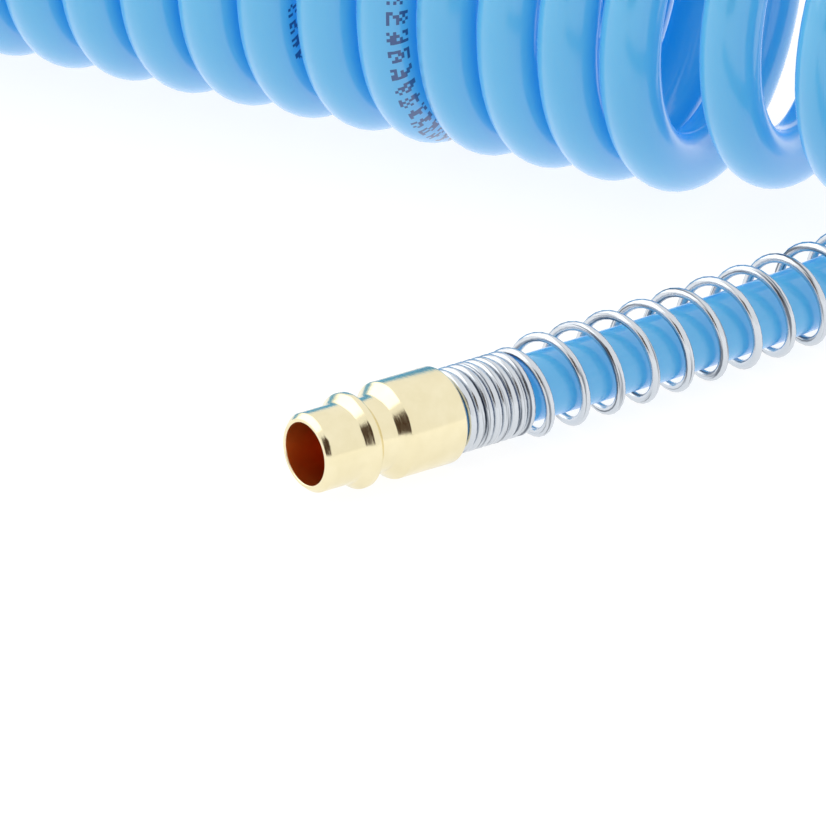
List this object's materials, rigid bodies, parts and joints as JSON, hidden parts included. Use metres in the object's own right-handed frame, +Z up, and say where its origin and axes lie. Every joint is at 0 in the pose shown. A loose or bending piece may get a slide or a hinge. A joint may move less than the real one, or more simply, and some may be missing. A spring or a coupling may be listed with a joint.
{
  "type": "coiled air hose",
  "caption": "Spiral polyurethane compressed-air hose lying coiled, with a brass quick-connect plug and a quick-release coupling, both behind wire bend guards.",
  "frame": {"origin": "on the surface the hose lies on, under the middle of its bounding box", "axes": "+X along the coil's axis towards the end that the plug leaves, +Y towards the side where the coupling lies, +Z up"},
  "size_m": [0.2972, 0.1918, 0.0566],
  "materials": {
    "polyurethane_hose": "clear tinted gloss",
    "turned_brass": "fine turned, bright",
    "sleeve_brass": "turned with straight knurl",
    "plated_spring_steel": "bright zinc plated wire",
    "spring_steel": "drawn wire",
    "hardened_steel": "ground and polished",
    "seal_rubber": "moulded, matt"
  },
  "bodies": {
    "hose": {"plug_body": "turned_brass", "plug_guard_spring": "plated_spring_steel", "hose_tail_plug": "polyurethane_hose", "hose_coil": "polyurethane_hose", "hose_tail_coupling": "polyurethane_hose", "coupling_guard_spring": "plated_spring_steel", "coupling_adapter": "turned_brass", "adapter_gasket": "seal_rubber", "coupling_body": "turned_brass", "retaining_ring": "spring_steel", "mouth_seal": "seal_rubber", "sleeve_spring": "spring_steel", "valve_spring": "spring_steel"},
    "sleeve": {"release_sleeve": "sleeve_brass"},
    "valve": {"valve_poppet": "turned_brass", "valve_seal": "seal_rubber"},
    "ball_1": {"locking_ball_1": "hardened_steel"},
    "ball_2": {"locking_ball_2": "hardened_steel"},
    "ball_3": {"locking_ball_3": "hardened_steel"},
    "ball_4": {"locking_ball_4": "hardened_steel"},
    "ball_5": {"locking_ball_5": "hardened_steel"},
    "ball_6": {"locking_ball_6": "hardened_steel"}
  },
  "joints": [
    {"name": "sleeve_slide", "type": "slide", "parent": "hose", "child": "sleeve", "axis": [-1, 0, 0], "range_m": [0, 0.004], "stiffness_N_per_m": 1500, "springref_m": -0.004, "deforming": ["sleeve_spring"]},
    {"name": "valve_slide", "type": "slide", "parent": "hose", "child": "valve", "axis": [-1, 0, 0], "range_m": [0, 0.0045], "stiffness_N_per_m": 900, "springref_m": -0.004, "deforming": ["valve_spring"]},
    {"name": "ball_slide_1", "type": "slide", "parent": "hose", "child": "ball_1", "axis": [0, 0, 1], "range_m": [0, 0.0014]},
    {"name": "ball_slide_2", "type": "slide", "parent": "hose", "child": "ball_2", "axis": [0, 0.866, 0.5], "range_m": [0, 0.0014]},
    {"name": "ball_slide_3", "type": "slide", "parent": "hose", "child": "ball_3", "axis": [0, 0.866, -0.5], "range_m": [0, 0.0014]},
    {"name": "ball_slide_4", "type": "slide", "parent": "hose", "child": "ball_4", "axis": [0, 0, -1], "range_m": [0, 0.0014]},
    {"name": "ball_slide_5", "type": "slide", "parent": "hose", "child": "ball_5", "axis": [0, -0.866, -0.5], "range_m": [0, 0.0014]},
    {"name": "ball_slide_6", "type": "slide", "parent": "hose", "child": "ball_6", "axis": [0, -0.866, 0.5], "range_m": [0, 0.0014]}
  ],
  "couplings": [
    {"joint": "ball_slide_1", "follows": "sleeve_slide", "ratio": 0.34},
    {"joint": "ball_slide_2", "follows": "sleeve_slide", "ratio": 0.34},
    {"joint": "ball_slide_3", "follows": "sleeve_slide", "ratio": 0.34},
    {"joint": "ball_slide_4", "follows": "sleeve_slide", "ratio": 0.34},
    {"joint": "ball_slide_5", "follows": "sleeve_slide", "ratio": 0.34},
    {"joint": "ball_slide_6", "follows": "sleeve_slide", "ratio": 0.34}
  ]
}
